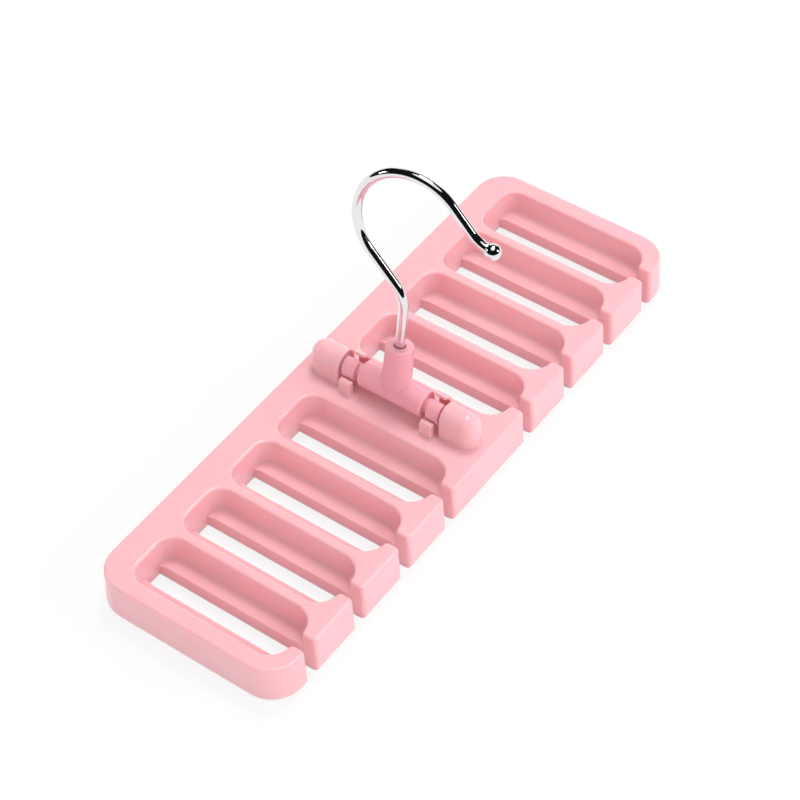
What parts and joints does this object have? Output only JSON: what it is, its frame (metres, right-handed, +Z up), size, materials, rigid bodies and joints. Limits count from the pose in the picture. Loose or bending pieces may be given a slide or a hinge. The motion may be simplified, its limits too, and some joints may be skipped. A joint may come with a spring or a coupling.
{
  "type": "tie hanger",
  "caption": "Flat moulded tie hanger: a tray of slotted pockets with open mouths for folded ties, and a wire hook that swivels in a tee hinged between domes so that it folds flat.",
  "frame": {"origin": "on the surface that the plate lies on, under the middle of the plate and of the hinge", "axes": "+X along the plate, -Y towards the slot mouths at its front, +Z up"},
  "size_m": [0.2298, 0.0766, 0.1091],
  "materials": {
    "plate_plastic": "satin moulded polypropylene",
    "tee_plastic": "satin moulded polypropylene",
    "hook_chrome": "bright plated wire",
    "washer_steel": "plain zinc plated"
  },
  "bodies": {
    "plate": {"hanger_plate": "plate_plastic"},
    "tee": {"hinge_tee": "tee_plastic"},
    "hook": {"swivel_hook": "hook_chrome", "hook_washer": "washer_steel"}
  },
  "joints": [
    {"name": "hook_fold", "type": "hinge", "parent": "plate", "child": "tee", "pos_m": [0, 0, 0.0226], "axis": [0, 1, 0], "range_deg": [-99.5, 80.5]},
    {"name": "hook_swivel", "type": "hinge", "parent": "tee", "child": "hook", "pos_m": [0, 0, 0.0226], "axis": [0.165, 0, 0.9863], "range_deg": [-180, 180]}
  ]
}
